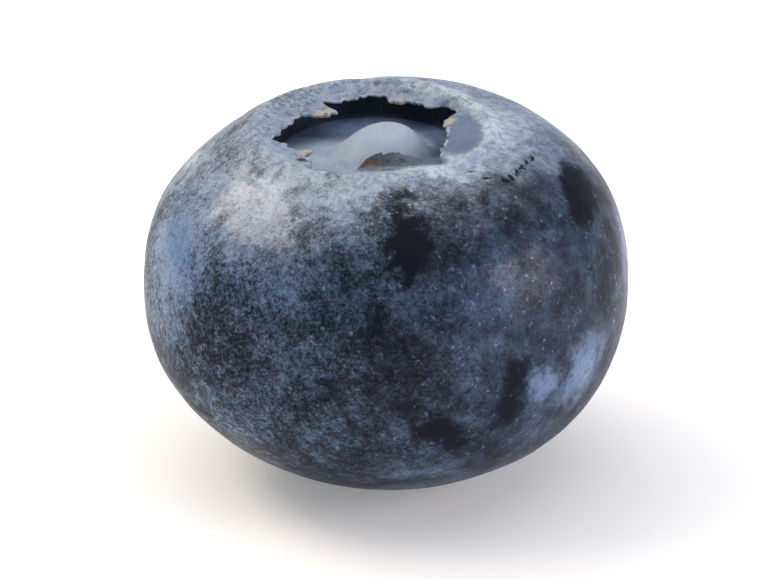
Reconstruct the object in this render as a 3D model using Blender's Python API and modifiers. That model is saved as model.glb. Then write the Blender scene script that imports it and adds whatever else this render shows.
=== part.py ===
"""One fresh blueberry, standing on its stem end with the calyx up.

The berry is a single solid: a squat turned body with a shallow calyx basin in its top,
five short worn calyx lobes that lean in over the basin, and a stem scar sunk in its base.
Lengths are in metres and +Z is up. The origin is the middle of the bounding box's bottom.
"""

import math
import random

import bpy
import numpy as np

MM = 0.001

# Driving dimensions. Heights count from the widest level of the berry, up or down.
WIDTH = 17.5 * MM
TOP_HALF = 6.63 * MM        # height at which the shoulder curve would close over the axis
BOTTOM_HALF = 7.05 * MM     # depth at which the lower curve would close under the axis
TOP_FULLNESS = 2.51         # superellipse exponents: 2 is an ellipse, more is squarer
BOTTOM_FULLNESS = 2.07
BASE_DEPTH = 6.85 * MM      # the lower curve is pressed flat here

# The low collar that the calyx lobes grow from, and the shallow furrow outside it
COLLAR_RADIUS = 4.25 * MM
COLLAR_RISE = 0.07 * MM
COLLAR_SPREAD = 0.30 * MM
FURROW_RADIUS = 5.05 * MM
FURROW_DEPTH = 0.08 * MM
FURROW_SPREAD = 0.45 * MM

COLLAR_END = 5.80 * MM      # radius at which the furrow has faded into the shoulder
NOTCH_DIP = 0.06 * MM       # how far the collar sinks between two lobes
DIP_SPREAD = 0.75 * MM      # and how far from the collar's crest the dip reaches

# The calyx lobes: one sheet that leans in from the collar, cut into five by its edge
LIP_THICKNESS = 0.60 * MM
LIP_ROOT = (4.12 * MM, 5.90 * MM)   # radius and height of the middle of the sheet at the collar
NOTCH_RADIUS = 3.64 * MM            # edge of the opening between two lobes
NOTCH_HEIGHT = 5.70 * MM
NOTCH_DROOP = 10                    # degrees that the edge leans down between two lobes
TIP_DROOP = 8                       # and at a lobe's tip
EDGE_WEAR = 0.07 * MM               # how far the dry edge wanders from its smooth outline
EDGE_SEED = 17
# Bearing of the tip in degrees (0 is +X, 90 is +Y), tip radius, tip rise over a notch, then half width
# in degrees and bluntness towards smaller and towards larger bearings. A bluntness of 1 is a
# straight-sided point, 2 is round and more is square.
# A worn or torn lobe has more than one row. The two rows with no rise are the web between lobes.
LOBES = (
    (-145, 3.05 * MM, 0.05 * MM, (36, 3.0), (18, 4.0)),
    (-148, 2.60 * MM, 0.06 * MM, (9, 2.0), (10, 1.6)),
    (-112, 3.42 * MM, 0.00 * MM, (18, 3.0), (16, 3.0)),
    (-78, 2.24 * MM, 0.38 * MM, (26.5, 4.5), (37, 2.6)),
    (8, 2.56 * MM, 0.04 * MM, (55, 5.0), (27, 4.0)),
    (59, 3.18 * MM, 0.05 * MM, (12, 5.0), (16, 3.0)),
    (74, 2.82 * MM, 0.08 * MM, (7, 3.0), (8.5, 3.0)),
    (90, 3.58 * MM, 0.00 * MM, (12, 4.0), (12, 4.0)),
    (108, 3.22 * MM, 0.06 * MM, (11, 6.0), (16, 4.0)),
    (134, 2.26 * MM, 0.10 * MM, (11, 5.0), (13, 5.0)),
    (152, 3.16 * MM, 0.05 * MM, (16, 4.0), (36, 2.0)),
)

# The basin: a domed disc with the faint style scar on it, a ring groove and an undercut wall
DISC_HEIGHT = 5.90 * MM
DISC_RADIUS = 1.95 * MM         # the disc ends here and the floor of the groove begins
DISC_FLATNESS = 1.7             # 1 is a plain wave from the middle to its edge, more is flatter on top
DISC_SHIFT = (0.60 * MM, 0.55 * MM)
GROOVE_RADIUS = 3.45 * MM
GROOVE_HEIGHT = 5.00 * MM
WALL_RADIUS = 4.08 * MM
WALL_TOP = 5.20 * MM            # the wall ends here, under the calyx sheet
LIP_FLOOR = 5.10 * MM           # all of the calyx sheet is above this height
STYLE_SCAR_RADIUS = 0.24 * MM
STYLE_SCAR_DEPTH = 0.05 * MM
STYLE_SCAR_BOWL = ((0.0, 0.0), (0.6, 0.1), (1.0, 0.75))     # shares of its radius, and of the way up

# The stem scar in the base
STEM_SCAR_RADIUS = 1.34 * MM
STEM_SCAR_DEPTH = 0.88 * MM
STEM_SCAR_BOWL = ((0.97, 0.60), (0.84, 0.92), (0.50, 1.0), (0.0, 0.94))  # shares of radius and depth
STEM_LIP = 0.20 * MM            # radius of the round lip between the base and the scar

# The calyx sits a little left of the axis, and the body isn't quite round
CALYX_SHIFT = (-0.42 * MM, 0.05 * MM)
SHIFT_START = 2.0 * MM          # the shift grows from this height to the collar
SWELLS = ((2, 35, 0.006), (3, 100, 0.004), (5, 70, 0.005))  # waves round, bearing, share of radius
# One shoulder sags and the other stands higher: rise per millimetre to the left and to the right
SHOULDER_SLOPES = (0.100, 0.055)
SHOULDER_LEVELS = (1.5 * MM, 5.0 * MM)      # the slope fades in between these heights
SHOULDER_RADII = (4.5 * MM, 6.2 * MM)       # and between these radii, so that the calyx stays level
FOOT_SHIFT = 0.28 * MM                      # the lower body leans this far to the right
FOOT_LEVEL = -5.2 * MM                      # most of all at this height
FOOT_SPREAD = 2.0 * MM

# Fineness of the mesh
TURN_STEPS = 88
COLLAR_POINTS = 8               # down the outside of the collar and across its furrow
SKIN_POINTS = 22                # and from there to the base
CURVE_FINENESS = 2000           # points drawn on the skin's curve before they are spaced evenly
DISC_STATIONS = (0.12, 0.21, 0.29, 0.36, 0.43, 0.50, 0.58, 0.78, 1.0)   # shares of the groove's radius
WALL_TURNS = (35, 70, 100)      # degrees round the hollow between the groove and the wall
LIP_STATIONS = (0.0, 0.35, 0.7)                                     # shares of the way to the edge
EDGE_TURNS = (-90, -45, 0, 45, 90)      # degrees round the edge, from the underside to the top
STEM_LIP_TURNS = (40, 80)               # degrees round the lip of the stem scar
MERGE = 0.01 * MM               # points this near the axis become one

# Waxy dark blue skin
SKIN_COLOUR = (0.076, 0.098, 0.150, 1.0)
SKIN_ROUGHNESS = 0.55


def shoulder_height(radius):
    """Height of the outside above the widest level, with the collar and its furrow."""
    share = np.clip(radius / (WIDTH / 2), 0, 1)
    plain = TOP_HALF * (1 - share ** TOP_FULLNESS) ** (1 / TOP_FULLNESS)
    collar = COLLAR_RISE * np.exp(-(((radius - COLLAR_RADIUS) / COLLAR_SPREAD) ** 2))
    furrow = FURROW_DEPTH * np.exp(-(((radius - FURROW_RADIUS) / FURROW_SPREAD) ** 2))
    return plain + collar - furrow


def base_radius():
    """Radius at which the lower curve meets the flat base."""
    share = (BASE_DEPTH / BOTTOM_HALF) ** BOTTOM_FULLNESS
    return WIDTH / 2 * (1 - share) ** (1 / BOTTOM_FULLNESS)


def spaced_evenly(points, count):
    """The same curve as count points at equal distances along it."""
    points = np.array(points)
    steps = np.hypot(*np.diff(points, axis=0).T)
    length = np.concatenate([[0], np.cumsum(steps)])
    wanted = np.linspace(0, length[-1], count)
    return np.column_stack([np.interp(wanted, length, points[:, axis]) for axis in (0, 1)])


def collar_points():
    """The outside of the collar and its furrow, from the crest out to the plain shoulder."""
    radii = np.linspace(COLLAR_RADIUS, COLLAR_END, COLLAR_POINTS, endpoint=False)
    return np.column_stack([radii, shoulder_height(radii)])


def skin_points():
    """The outside from the plain shoulder down to the flat base."""
    half = WIDTH / 2
    start = math.acos(COLLAR_END / half)
    upper = half * np.cos(np.linspace(start, 0, CURVE_FINENESS))
    above = np.column_stack([upper, shoulder_height(upper)])
    end = math.acos(base_radius() / half)
    lower = half * np.cos(np.linspace(0, end, CURVE_FINENESS))
    depth = BOTTOM_HALF * (1 - (lower / half) ** BOTTOM_FULLNESS) ** (1 / BOTTOM_FULLNESS)
    below = np.column_stack([lower, -depth])
    return spaced_evenly(np.concatenate([above, below[1:]]), SKIN_POINTS)


def disc_height(radius):
    """Height of the basin's floor at this radius: the disc, then the ring groove round it."""
    share = min(1, radius / DISC_RADIUS)
    wave = (1 + math.cos(math.pi * share ** DISC_FLATNESS)) / 2
    return GROOVE_HEIGHT + wave * (DISC_HEIGHT - GROOVE_HEIGHT)


def basin_points():
    """The basin from its middle outwards: style scar, disc, ring groove and undercut wall."""
    floor = DISC_HEIGHT - STYLE_SCAR_DEPTH
    points = [(across * STYLE_SCAR_RADIUS, floor + up * STYLE_SCAR_DEPTH) for across, up in STYLE_SCAR_BOWL]
    for share in DISC_STATIONS:
        points.append((share * GROOVE_RADIUS, disc_height(share * GROOVE_RADIUS)))
    hollow = WALL_RADIUS - GROOVE_RADIUS
    for turn in WALL_TURNS:
        across = GROOVE_RADIUS + hollow * math.sin(math.radians(turn))
        up = (1 - math.cos(math.radians(turn))) / (1 - math.cos(math.radians(WALL_TURNS[-1])))
        points.append((across, GROOVE_HEIGHT + up * (WALL_TOP - GROOVE_HEIGHT)))
    return points


def lip_stations():
    """The calyx sheet's stations as (along, turn): along runs from the collar (0) to the edge (1),
    and turn goes round the edge from the underside (-90 degrees) to the upper side (90)."""
    under = [(along, -90) for along in LIP_STATIONS]
    edge = [(1, turn) for turn in EDGE_TURNS]
    upper = [(along, 90) for along in reversed(LIP_STATIONS)]
    return under + edge + upper


def lip_point(along, turn, edge_radius, edge_height, droop):
    """Radius and height of a station on the calyx sheet whose edge has the given place and droop.
    The sheet leaves the collar level and bends down to its droop on the way in."""
    half = LIP_THICKNESS / 2
    root = np.array(LIP_ROOT)
    middle = root + along * (np.array([edge_radius + half, edge_height]) - root)
    lean = math.radians(droop * along)
    inward = np.array([-math.cos(lean), -math.sin(lean)])
    upward = np.array([-math.sin(lean), math.cos(lean)])
    turn = math.radians(turn)
    return middle + half * (math.cos(turn) * inward + math.sin(turn) * upward)


def stem_scar_points():
    """The base from its flat ring inwards: round lip, wall and floor of the stem scar."""
    flat = -BASE_DEPTH
    points = [(STEM_SCAR_RADIUS + 2 * STEM_LIP, flat), (STEM_SCAR_RADIUS + STEM_LIP, flat)]
    for turn in STEM_LIP_TURNS:
        across = STEM_SCAR_RADIUS + STEM_LIP * (1 - math.sin(math.radians(turn)))
        points.append((across, flat + STEM_LIP * (1 - math.cos(math.radians(turn)))))
    for across, up in STEM_SCAR_BOWL:
        points.append((across * STEM_SCAR_RADIUS, flat + up * STEM_SCAR_DEPTH))
    return points


def lobe_swells(bearing):
    """How far each lobe reaches out at this bearing: 1 at its tip, 0 outside it."""
    swells = []
    for middle, _, _, before, after in LOBES:
        gap = (bearing - middle + 180) % 360 - 180
        half_width, bluntness = after if gap > 0 else before
        swells.append(max(0, 1 - (abs(gap) / half_width) ** bluntness))
    return swells


def lobe_edge(bearing):
    """Radius, height and droop of the edge of the calyx at this bearing."""
    radius = NOTCH_RADIUS
    height = NOTCH_HEIGHT
    swells = lobe_swells(bearing)
    for swell, (_, tip, rise, _, _) in zip(swells, LOBES):
        radius = min(radius, NOTCH_RADIUS - swell * (NOTCH_RADIUS - tip))
        height = max(height, NOTCH_HEIGHT + swell * rise)
    droop = NOTCH_DROOP + max(swells) * (TIP_DROOP - NOTCH_DROOP)
    return radius, height, droop


def turned_berry(points):
    """The profile turned round the Z axis by a Screw modifier, as a plain mesh."""
    mesh = bpy.data.meshes.new("profile")
    mesh.from_pydata([(radius, 0, height) for radius, height in points],
                     [(i, i + 1) for i in range(len(points) - 1)], [])
    profile = bpy.data.objects.new("profile", mesh)
    bpy.context.scene.collection.objects.link(profile)
    screw = profile.modifiers.new("turn", "SCREW")
    screw.steps = TURN_STEPS
    screw.render_steps = TURN_STEPS
    screw.use_merge_vertices = True
    screw.merge_threshold = MERGE
    graph = bpy.context.evaluated_depsgraph_get()
    turned = bpy.data.meshes.new_from_object(profile.evaluated_get(graph))
    bpy.data.objects.remove(profile)
    bpy.data.meshes.remove(mesh)
    return turned


def shape_calyx(places, points, first_lip, stations):
    """Draws the turned lip in and out at each bearing, so that its edge becomes the five lobes."""
    chance = random.Random(EDGE_SEED)
    wear = [EDGE_WEAR * chance.uniform(-1, 1) for _ in range(TURN_STEPS)]
    for place in places:
        across = math.hypot(place[0], place[1])
        nearest = int(np.argmin(np.hypot(points[:, 0] - across, points[:, 1] - place[2])))
        if not first_lip <= nearest < first_lip + len(stations):
            continue
        bearing = math.degrees(math.atan2(place[1], place[0])) % 360
        radius, height, droop = lobe_edge(bearing)
        radius += wear[round(bearing / 360 * TURN_STEPS) % TURN_STEPS]
        along, turn = stations[nearest - first_lip]
        new_radius, place[2] = lip_point(along, turn, radius, height, droop)
        place[0] *= new_radius / across
        place[1] *= new_radius / across


def dip_collar(places):
    """Sinks the collar, and the sheet that it carries, between the lobes."""
    for place in places:
        across = math.hypot(place[0], place[1])
        if place[2] < LIP_FLOOR or across < NOTCH_RADIUS - DIP_SPREAD:
            continue
        bearing = math.degrees(math.atan2(place[1], place[0]))
        depth = NOTCH_DIP * (1 - max(lobe_swells(bearing)))
        place[2] -= depth * math.exp(-((across - COLLAR_RADIUS) / DIP_SPREAD) ** 2)


def shift_disc(places):
    """Moves the disc and its style scar off the middle of the basin, fading out at the groove."""
    across = np.hypot(places[:, 0], places[:, 1])
    share = np.clip(across / GROOVE_RADIUS, 0, 1)
    weight = np.where(places[:, 2] > GROOVE_HEIGHT / 2, (1 - share * share) ** 2, 0)
    places[:, :2] += np.outer(weight, DISC_SHIFT)


def fade_in(value, start, end):
    """0 below start, 1 above end and smooth between them."""
    share = np.clip((value - start) / (end - start), 0, 1)
    return share * share * (3 - 2 * share)


def shape_body(places):
    """Makes the body slightly unround, slopes its shoulders and sets the calyx off the axis.
    Low heights don't change, so the flat base stays flat."""
    bearing = np.arctan2(places[:, 1], places[:, 0])
    swell = np.ones(len(places))
    for waves, middle, share in SWELLS:
        swell += share * np.cos(waves * (bearing - math.radians(middle)))
    places[:, :2] *= swell[:, None]
    across = np.hypot(places[:, 0], places[:, 1])
    slope = np.where(places[:, 0] < 0, *SHOULDER_SLOPES)
    weight = fade_in(places[:, 2], *SHOULDER_LEVELS) * fade_in(across, *SHOULDER_RADII)
    foot = FOOT_SHIFT * np.exp(-((places[:, 2] - FOOT_LEVEL) / FOOT_SPREAD) ** 2)
    calyx = fade_in(places[:, 2], SHIFT_START, NOTCH_HEIGHT)
    places[:, 2] += weight * slope * places[:, 0]
    places[:, 0] += foot
    places[:, :2] += np.outer(calyx, CALYX_SHIFT)


def skin_material():
    material = bpy.data.materials.new("skin")
    material.use_nodes = True
    shader = material.node_tree.nodes["Principled BSDF"]
    shader.inputs["Base Color"].default_value = SKIN_COLOUR
    shader.inputs["Roughness"].default_value = SKIN_ROUGHNESS
    shader.inputs["Metallic"].default_value = 0.0
    return material


def blueberry(collection):
    basin = basin_points()
    stations = lip_stations()
    lip = [lip_point(along, turn, NOTCH_RADIUS, NOTCH_HEIGHT, NOTCH_DROOP) for along, turn in stations]
    points = np.array([*basin, *lip, *collar_points(), *skin_points(), *stem_scar_points()])
    mesh = turned_berry(points)
    places = np.empty(len(mesh.vertices) * 3)
    mesh.vertices.foreach_get("co", places)
    places = places.reshape(-1, 3)
    shape_calyx(places, points, len(basin), stations)
    dip_collar(places)
    shift_disc(places)
    shape_body(places)
    middle = (places.max(axis=0) + places.min(axis=0)) / 2
    places -= (middle[0], middle[1], -BASE_DEPTH)
    mesh.vertices.foreach_set("co", places.ravel())
    mesh.name = "blueberry"
    mesh.shade_smooth()
    mesh.update()
    berry = bpy.data.objects.new("blueberry", mesh)
    berry.data.materials.append(skin_material())
    collection.objects.link(berry)


def main():
    for obj in list(bpy.data.objects):
        bpy.data.objects.remove(obj)
    collection = bpy.data.collections.new("blueberry")
    bpy.context.scene.collection.children.link(collection)
    blueberry(collection)


main()
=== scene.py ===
# %% [markdown]
# A ripe blueberry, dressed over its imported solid.
# The solid holds the berry's true size, its calyx and its stem scar. Here one finer mesh takes
# its place: thinner calyx lobes with dry ragged edges, a basin with its disc, and a skin under a
# waxy bloom. Lengths are in metres, and most are written as millimetres times MM.

# %% The frame
import math
import random

import bpy
import numpy as np
from mathutils import Euler, Matrix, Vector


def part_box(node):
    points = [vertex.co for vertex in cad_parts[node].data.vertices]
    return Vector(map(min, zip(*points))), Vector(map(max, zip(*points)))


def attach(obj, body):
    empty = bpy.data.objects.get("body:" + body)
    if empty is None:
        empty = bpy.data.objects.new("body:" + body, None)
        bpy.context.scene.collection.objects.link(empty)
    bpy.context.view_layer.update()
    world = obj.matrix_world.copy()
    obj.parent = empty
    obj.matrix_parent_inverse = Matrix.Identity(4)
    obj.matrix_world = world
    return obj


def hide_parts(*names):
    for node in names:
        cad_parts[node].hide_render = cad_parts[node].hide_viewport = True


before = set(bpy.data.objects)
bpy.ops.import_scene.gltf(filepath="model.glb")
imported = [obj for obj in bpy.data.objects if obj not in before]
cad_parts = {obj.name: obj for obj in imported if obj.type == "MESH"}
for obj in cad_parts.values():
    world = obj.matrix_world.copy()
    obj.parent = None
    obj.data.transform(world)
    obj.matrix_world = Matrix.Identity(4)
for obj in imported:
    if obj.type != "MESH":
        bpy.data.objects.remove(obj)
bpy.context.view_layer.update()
MM = 0.001
low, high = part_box("blueberry")
print("solid in mm:", [round(side / MM, 2) for side in high - low])

# %% [markdown]
# The berry is a lathe form before it is anything else. It could be a sphere pushed about, but a
# sphere's rings crowd at its poles, and the two poles here are where all the detail is. So it is
# drawn the way a potter draws a wall: a ring of edges is extruded up, out and in, ring by ring.
# The side follows a superellipse, an ellipse with a little more shoulder.

# %% Driving sizes of the body
WIDTH = 17.5 * MM
WIDEST = 6.85 * MM  # height of the widest level above the base
TOP_HALF = 6.63 * MM
BOTTOM_HALF = 7.05 * MM
TOP_FULLNESS = 2.51  # 2 is an ellipse, more is squarer
BOTTOM_FULLNESS = 2.07
AROUND = 330  # edges in a ring
print("superellipse in mm:", WIDTH / MM, "wide,", round((TOP_HALF + BOTTOM_HALF) / MM, 2), "high")


def superellipse(radius, half_height, fullness):
    """Distance from the widest level to the curve at this radius."""
    share = np.clip(radius / (WIDTH / 2), 0, 1)
    return half_height * (1 - share ** fullness) ** (1 / fullness)


def evenly(points, count):
    """The same curve as count points at equal distances along it."""
    points = np.array(points)
    length = np.concatenate([[0], np.cumsum(np.hypot(*np.diff(points, axis=0).T))])
    wanted = np.linspace(0, length[-1], count)
    return np.column_stack([np.interp(wanted, length, points[:, axis]) for axis in (0, 1)])


# %% [markdown]
# A ring is raised with Extrude, then scaled about the axis to its new radius. The list of rings
# is kept, because later steps shape some of them.

# %% Extrude one ring after another
rings = []  # (radius, height) of each ring, in the order that they are drawn


def start_ring(radius, height):
    bpy.ops.object.select_all(action="DESELECT")
    bpy.ops.mesh.primitive_circle_add(vertices=AROUND, radius=radius, location=(0, 0, height))
    bpy.ops.object.transform_apply(location=True, rotation=True, scale=True)
    rings.append((radius, height))
    return bpy.context.object


def draw_rings(stations):
    for radius, height in stations:
        last_radius, last_height = rings[-1]
        rise = {"value": (0, 0, height - last_height)}
        bpy.ops.mesh.extrude_region_move(TRANSFORM_OT_translate=rise)
        scale = radius / last_radius
        bpy.ops.transform.resize(value=(scale, scale, 1), center_override=(0, 0, height))
        rings.append((radius, height))


# %% [markdown]
# The drawing starts underneath, where the stalk broke away. On the real berry that leaves a
# small pit with a corky floor and a soft round lip. Outside the lip is the flat spot that the
# berry stands on.

# %% Stem scar and flat spot
STEM_SCAR_RADIUS = 1.34 * MM
STEM_SCAR_DEPTH = 0.88 * MM
STEM_LIP = 0.2 * MM
STEM_LIP_TURNS = (80, 65, 50, 35, 20, 8, 0)  # degrees round the lip, from the pit to the flat spot
SMALLEST_RING = 0.06 * MM  # the innermost ring, merged into one point later
# the pit's rings, as shares of its radius and of its depth
SCAR_START = 0.94
SCAR_FLOOR = ((0.15, 0.96), (0.3, 0.99), (0.45, 1), (0.6, 0.99), (0.72, 0.96), (0.82, 0.91))
SCAR_WALL = ((0.9, 0.82), (0.95, 0.7), (0.97, 0.55), (0.98, 0.4))

berry = start_ring(SMALLEST_RING, SCAR_START * STEM_SCAR_DEPTH)
berry.name = "berry"
bpy.ops.object.mode_set(mode="EDIT")
draw_rings([(across * STEM_SCAR_RADIUS, up * STEM_SCAR_DEPTH) for across, up in SCAR_FLOOR + SCAR_WALL])
scar_rings = len(rings)
for turn in STEM_LIP_TURNS:
    lean = math.radians(turn)
    radius = STEM_SCAR_RADIUS + STEM_LIP * (1 - math.sin(lean))
    draw_rings([(radius, STEM_LIP * (1 - math.cos(lean)))])
print("rings to the flat spot:", len(rings))

# %% [markdown]
# From the flat spot the wall goes out and up in one sweep to the widest level, and over the
# shoulder to the calyx. Rings at equal steps along the curve keep the faces nearly square.

# %% Side and shoulder
SIDE_RINGS = 92
COLLAR_RADIUS = 4.25 * MM
COLLAR_RISE = 0.07 * MM
COLLAR_SPREAD = 0.3 * MM
FURROW_RADIUS = 5.05 * MM
FURROW_DEPTH = 0.08 * MM
FURROW_SPREAD = 0.45 * MM
COLLAR_END = 5.8 * MM
COLLAR_RINGS = 15
FINE = 2000  # points on a curve before it is spaced evenly

half = WIDTH / 2
flat_edge = half * (1 - (WIDEST / BOTTOM_HALF) ** BOTTOM_FULLNESS) ** (1 / BOTTOM_FULLNESS)
out = half * np.cos(np.linspace(math.acos(flat_edge / half), 0, FINE))
lower = np.column_stack([out, WIDEST - superellipse(out, BOTTOM_HALF, BOTTOM_FULLNESS)])
back = half * np.cos(np.linspace(0, math.acos(COLLAR_END / half), FINE))
upper = np.column_stack([back, WIDEST + superellipse(back, TOP_HALF, TOP_FULLNESS)])
draw_rings(evenly(np.concatenate([lower, upper[1:]]), SIDE_RINGS))

collar_radii = np.linspace(COLLAR_END, COLLAR_RADIUS, COLLAR_RINGS + 1)[1:]
bulge = COLLAR_RISE * np.exp(-(((collar_radii - COLLAR_RADIUS) / COLLAR_SPREAD) ** 2))
furrow = FURROW_DEPTH * np.exp(-(((collar_radii - FURROW_RADIUS) / FURROW_SPREAD) ** 2))
dome = WIDEST + superellipse(collar_radii, TOP_HALF, TOP_FULLNESS)
draw_rings(zip(collar_radii, dome + bulge - furrow))
print("rings to the collar:", len(rings), "flat spot to", round(flat_edge / MM, 2), "mm")

# %% [markdown]
# The calyx is what is left of the flower: five lobes on a collar. Here they are short and worn,
# and lean in over the basin. All five are one thin sheet, so the sheet is drawn as a plain lip
# first: in along its upper side, round its edge and back along its underside. Its edge is cut
# into lobes in a later step.

# %% The calyx lip, still plain
LIP_ROOT = (4.12 * MM, WIDEST + 5.9 * MM)
LIP_ROOT_HALF = 0.27 * MM  # half its thickness where it leaves the collar
LIP_EDGE_HALF = 0.06 * MM  # and at its dry edge
LIP_TAPER = 0.7  # below 1, it thins most near the collar
NOTCH_RADIUS = 3.84 * MM  # edge of the opening between two lobes
NOTCH_HEIGHT = WIDEST + 5.8 * MM
NOTCH_DROOP = 38  # degrees that the edge leans down between two lobes
# the lip's rings: shares of the way to its edge, then degrees round the edge, then the way back
ALONG = (0, 0.09, 0.18, 0.27, 0.36, 0.45, 0.54, 0.63, 0.72, 0.8, 0.88, 0.95)
ROUND_EDGE = (90, 60, 30, 0, -30, -60, -90)
UNDER = (0.95, 0.85, 0.7, 0.5, 0.25, 0)
lip_stations = [(along, 90) for along in ALONG]
lip_stations += [(1.0, turn) for turn in ROUND_EDGE]
lip_stations += [(along, -90) for along in UNDER]


def lip_point(along, turn, edge_radius, edge_height, droop):
    """Radius and height on the sheet: along runs from the collar to the edge, turn is 90 on top
    and -90 underneath."""
    half_thick = LIP_ROOT_HALF + (LIP_EDGE_HALF - LIP_ROOT_HALF) * along ** LIP_TAPER
    tip_radius = edge_radius + LIP_EDGE_HALF
    radius = LIP_ROOT[0] + along * (tip_radius - LIP_ROOT[0])
    height = LIP_ROOT[1] + along * (edge_height - LIP_ROOT[1])
    lean = math.radians(droop * along)
    across = half_thick * math.cos(math.radians(turn))
    up = half_thick * math.sin(math.radians(turn))
    return (radius - across * math.cos(lean) - up * math.sin(lean),
            height - across * math.sin(lean) + up * math.cos(lean))


first_lip_ring = len(rings)
draw_rings([lip_point(*station, NOTCH_RADIUS, NOTCH_HEIGHT, NOTCH_DROOP) for station in lip_stations])
print("rings of the lip:", first_lip_ring, "to", len(rings) - 1)

# %% [markdown]
# Under the lip the wall is hollowed, so the opening looks black at its back. The floor is a
# groove, then a low round disc, and in its middle the faint pit that the flower's style left.

# %% The basin
WALL_RADIUS = 4.08 * MM
GROOVE_RADIUS = 3.45 * MM
WALL_TOP = WIDEST + 5.56 * MM  # the wall meets the underside of the lip here
WALL_TURNS = (110, 20)  # degrees round the hollow, from that place to the groove
WALL_RINGS = 7
GROOVE_HEIGHT = WIDEST + 5.0 * MM
DISC_HEIGHT = WIDEST + 5.94 * MM
DISC_RADIUS = 1.95 * MM
DISC_FLATNESS = 1.7
DISC_RINGS = 24
DISC_END = 0.12  # share of the groove's radius where the style scar begins
STYLE_SCAR_RADIUS = 0.24 * MM
STYLE_SCAR_DEPTH = 0.05 * MM
# the style scar's rings, as shares of its radius and of its depth
STYLE_SCAR = ((1.15, -0.08), (1.0, 0.02), (0.85, 0.3), (0.7, 0.75), (0.5, 0.95))
STYLE_SCAR_MIDDLE = 0.9

first_basin_ring = len(rings)
hollow = WALL_RADIUS - GROOVE_RADIUS
for turn in np.linspace(*WALL_TURNS, WALL_RINGS):
    lean = math.radians(turn)
    share_up = (1 - math.cos(lean)) / (1 - math.cos(math.radians(WALL_TURNS[0])))
    wall_height = GROOVE_HEIGHT + share_up * (WALL_TOP - GROOVE_HEIGHT)
    draw_rings([(GROOVE_RADIUS + hollow * math.sin(lean), wall_height)])
first_floor_ring = len(rings)
for share in np.linspace(1.0, DISC_END, DISC_RINGS):
    slope = min(1, share * GROOVE_RADIUS / DISC_RADIUS)
    wave = (1 + math.cos(math.pi * slope ** DISC_FLATNESS)) / 2
    draw_rings([(share * GROOVE_RADIUS, GROOVE_HEIGHT + wave * (DISC_HEIGHT - GROOVE_HEIGHT))])
for across, down in STYLE_SCAR:
    draw_rings([(across * STYLE_SCAR_RADIUS, DISC_HEIGHT - down * STYLE_SCAR_DEPTH)])
draw_rings([(SMALLEST_RING, DISC_HEIGHT - STYLE_SCAR_MIDDLE * STYLE_SCAR_DEPTH)])
bpy.ops.mesh.merge(type="CENTER")
print("rings in all:", len(rings))

# %% [markdown]
# The first ring, at the bottom of the stem scar, is still open. It is picked by its place and
# merged into one point too. Then all faces are turned to point out.

# %% Close the stem scar
bpy.ops.mesh.select_all(action="DESELECT")
bpy.ops.object.mode_set(mode="OBJECT")
for vertex in berry.data.vertices:
    middle = math.hypot(vertex.co.x, vertex.co.y) < 1.5 * SMALLEST_RING
    vertex.select = middle and vertex.co.z < WIDEST
bpy.ops.object.mode_set(mode="EDIT")
bpy.ops.mesh.merge(type="CENTER")
bpy.ops.mesh.select_all(action="SELECT")
bpy.ops.mesh.normals_make_consistent(inside=False)
bpy.ops.object.mode_set(mode="OBJECT")
print("vertices:", len(berry.data.vertices), "faces:", len(berry.data.polygons))

# %% [markdown]
# Now the lobes. An operator can pull a lobe out, but it can't draw a worn edge, so this is done
# with a rule: at every bearing the edge of the sheet has its own radius, height and droop. A
# bearing of 0 is +X, 90 is +Y. Each row below is a swell of the edge towards the middle. A worn
# lobe takes more than one row, and the rows with no rise are webs between lobes.

# %% Outline of the five lobes
TIP_DROOP = 8
HEIGHT_POWER = 3  # how sharply the nearest row decides the edge's height
LOBES = (
    # bearing of the tip, its radius and its rise over a notch in millimetres,
    # then half width and bluntness towards smaller and towards larger bearings
    (-145, 3.05, 0.05, (36, 3), (18, 4)),
    (-148, 2.6, 0.06, (9, 2), (10, 1.6)),
    (-112, 3.42, 0, (18, 3), (16, 3)),
    (-80, 2.24, 0.3, (25, 4.5), (36, 2.3)),
    (8, 2.56, 0.04, (55, 5), (27, 4)),
    (59, 3.18, 0.05, (12, 5), (16, 3)),
    (74, 2.82, 0.08, (7, 3), (8.5, 3)),
    (90, 3.58, 0, (12, 4), (12, 4)),
    (108, 3.22, 0.06, (11, 6), (16, 4)),
    (134, 2.26, 0.1, (12.5, 3.2), (14.5, 3.2)),
    (152, 3.16, 0.05, (16, 4), (36, 2)),
)
# fine wear along the edge: waves round the opening, and their size
WEAR = ((23, 0.04 * MM), (41, 0.04 * MM), (67, 0.025 * MM), (89, 0.012 * MM))
chance = random.Random(17)
wear_start = [chance.uniform(0, 2 * math.pi) for _ in WEAR]


def turned(bearing, other):
    """From other to this bearing in degrees, between -180 and 180."""
    return (bearing - other + 180) % 360 - 180


def swells(bearing):
    """How far each row reaches out at this bearing: 1 at its tip, 0 outside it."""
    found = []
    for middle, _, _, before, after in LOBES:
        gap = turned(bearing, middle)
        width, bluntness = after if gap > 0 else before
        found.append(max(0, 1 - (abs(gap) / width) ** bluntness))
    return found


def lobe_edge(bearing):
    """Radius, height and droop of the calyx's edge at this bearing."""
    found = swells(bearing)
    radius = min(NOTCH_RADIUS - swell * (NOTCH_RADIUS - lobe[1] * MM) for swell, lobe in zip(found, LOBES))
    weight = sum(swell ** HEIGHT_POWER for swell in found) + 1e-9
    rise = sum(swell ** (HEIGHT_POWER + 1) * lobe[2] * MM for swell, lobe in zip(found, LOBES))
    droop = NOTCH_DROOP + max(found) * (TIP_DROOP - NOTCH_DROOP)
    for (waves, size), start in zip(WEAR, wear_start):
        radius += size * math.sin(waves * math.radians(bearing) + start)
    return radius, NOTCH_HEIGHT + rise / weight, droop


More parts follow.
